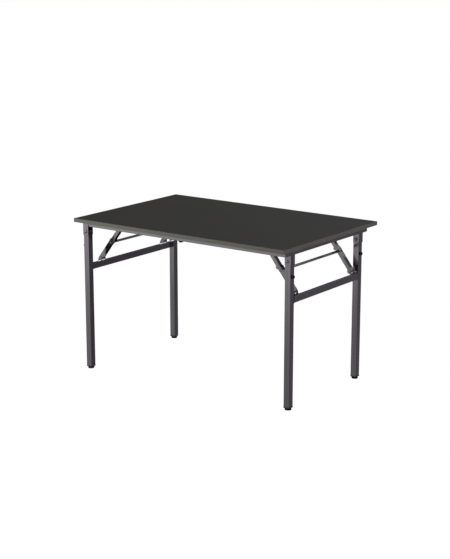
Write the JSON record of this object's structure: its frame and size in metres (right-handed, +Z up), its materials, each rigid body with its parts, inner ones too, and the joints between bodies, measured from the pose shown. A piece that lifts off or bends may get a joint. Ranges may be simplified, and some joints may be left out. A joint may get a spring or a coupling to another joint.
{
  "type": "folding table",
  "caption": "Folding utility table with a dark laminate top, a steel rail frame and two leg frames that fold flat on toggle braces.",
  "frame": {"origin": "on the floor under the middle of the top, with the table standing", "axes": "+X along the long side toward the narrower leg frame, -Y toward the front long side, +Z up"},
  "size_m": [1.2, 0.785, 0.75],
  "materials": {
    "top_laminate": "satin",
    "edge_band": "satin",
    "coated_steel": "satin",
    "zinc_fastener": "satin",
    "cap_plastic": "matte",
    "black_rubber": "matte"
  },
  "bodies": {
    "table_frame": {"edge_band": "edge_band", "front_leg_rest_pad": "black_rubber", "front_rail": "coated_steel", "left_end_rail": "coated_steel", "left_front_anchor_rivet": "zinc_fastener", "left_front_brace_anchor": "coated_steel", "left_front_leg_bracket": "coated_steel", "left_front_pivot_bolt": "zinc_fastener", "left_rear_anchor_rivet": "zinc_fastener", "left_rear_brace_anchor": "coated_steel", "left_rear_leg_bracket": "coated_steel", "left_rear_pivot_bolt": "zinc_fastener", "rear_leg_rest_pad": "black_rubber", "rear_rail": "coated_steel", "right_end_rail": "coated_steel", "right_front_anchor_rivet": "zinc_fastener", "right_front_brace_anchor": "coated_steel", "right_front_leg_bracket": "coated_steel", "right_front_pivot_bolt": "zinc_fastener", "right_rear_anchor_rivet": "zinc_fastener", "right_rear_brace_anchor": "coated_steel", "right_rear_leg_bracket": "coated_steel", "right_rear_pivot_bolt": "zinc_fastener", "tabletop_panel": "top_laminate"},
    "left_legs": {"left_crossbar": "coated_steel", "left_front_brace_clevis": "coated_steel", "left_front_clevis_rivet": "zinc_fastener", "left_front_leg": "coated_steel", "left_front_leg_cap": "cap_plastic", "left_front_stack_bumper": "black_rubber", "left_rear_brace_clevis": "coated_steel", "left_rear_clevis_rivet": "zinc_fastener", "left_rear_leg": "coated_steel", "left_rear_leg_cap": "cap_plastic", "left_rear_stack_bumper": "black_rubber"},
    "right_legs": {"right_crossbar": "coated_steel", "right_front_brace_clevis": "coated_steel", "right_front_clevis_rivet": "zinc_fastener", "right_front_leg": "coated_steel", "right_front_leg_cap": "cap_plastic", "right_front_stack_bumper": "black_rubber", "right_rear_brace_clevis": "coated_steel", "right_rear_clevis_rivet": "zinc_fastener", "right_rear_leg": "coated_steel", "right_rear_leg_cap": "cap_plastic", "right_rear_stack_bumper": "black_rubber"},
    "left_upper_links": {"left_front_upper_link": "coated_steel", "left_rear_upper_link": "coated_steel"},
    "right_upper_links": {"right_front_upper_link": "coated_steel", "right_rear_upper_link": "coated_steel"},
    "left_lower_links": {"left_front_lower_link": "coated_steel", "left_rear_lower_link": "coated_steel", "left_release_rod": "coated_steel"},
    "right_lower_links": {"right_front_lower_link": "coated_steel", "right_rear_lower_link": "coated_steel", "right_release_rod": "coated_steel"},
    "left_front_foot": {"left_front_levelling_foot": "black_rubber"},
    "left_rear_foot": {"left_rear_levelling_foot": "black_rubber"},
    "right_front_foot": {"right_front_levelling_foot": "black_rubber"},
    "right_rear_foot": {"right_rear_levelling_foot": "black_rubber"}
  },
  "joints": [
    {"name": "left_leg_fold", "type": "hinge", "parent": "table_frame", "child": "left_legs", "pos_m": [-0.5675, 0, 0.68], "axis": [0, -1, 0], "range_deg": [0, 90]},
    {"name": "left_upper_link_swing", "type": "hinge", "parent": "table_frame", "child": "left_upper_links", "pos_m": [-0.43611, 0, 0.6992], "axis": [0, 1, 0], "range_deg": [0, 34]},
    {"name": "left_lower_link_swing", "type": "hinge", "parent": "left_legs", "child": "left_lower_links", "pos_m": [-0.56456, 0, 0.5318], "axis": [0, -1, 0], "range_deg": [0, 46]},
    {"name": "left_front_foot_height", "type": "slide", "parent": "left_legs", "child": "left_front_foot", "axis": [0, 0, -1], "range_m": [0, 0.008]},
    {"name": "left_rear_foot_height", "type": "slide", "parent": "left_legs", "child": "left_rear_foot", "axis": [0, 0, -1], "range_m": [0, 0.008]},
    {"name": "right_leg_fold", "type": "hinge", "parent": "table_frame", "child": "right_legs", "pos_m": [0.5588, 0, 0.68], "axis": [0, 1, 0], "range_deg": [0, 90]},
    {"name": "right_upper_link_swing", "type": "hinge", "parent": "table_frame", "child": "right_upper_links", "pos_m": [0.42741, 0, 0.6992], "axis": [0, -1, 0], "range_deg": [0, 34]},
    {"name": "right_lower_link_swing", "type": "hinge", "parent": "right_legs", "child": "right_lower_links", "pos_m": [0.55586, 0, 0.5318], "axis": [0, 1, 0], "range_deg": [0, 46]},
    {"name": "right_front_foot_height", "type": "slide", "parent": "right_legs", "child": "right_front_foot", "axis": [0, 0, -1], "range_m": [0, 0.008]},
    {"name": "right_rear_foot_height", "type": "slide", "parent": "right_legs", "child": "right_rear_foot", "axis": [0, 0, -1], "range_m": [0, 0.008]}
  ],
  "couplings": [
    {"joint": "left_upper_link_swing", "follows": "left_leg_fold", "ratio": 0.37361},
    {"joint": "left_lower_link_swing", "follows": "left_leg_fold", "ratio": 0.50712},
    {"joint": "right_upper_link_swing", "follows": "right_leg_fold", "ratio": 0.37361},
    {"joint": "right_lower_link_swing", "follows": "right_leg_fold", "ratio": 0.50712}
  ]
}
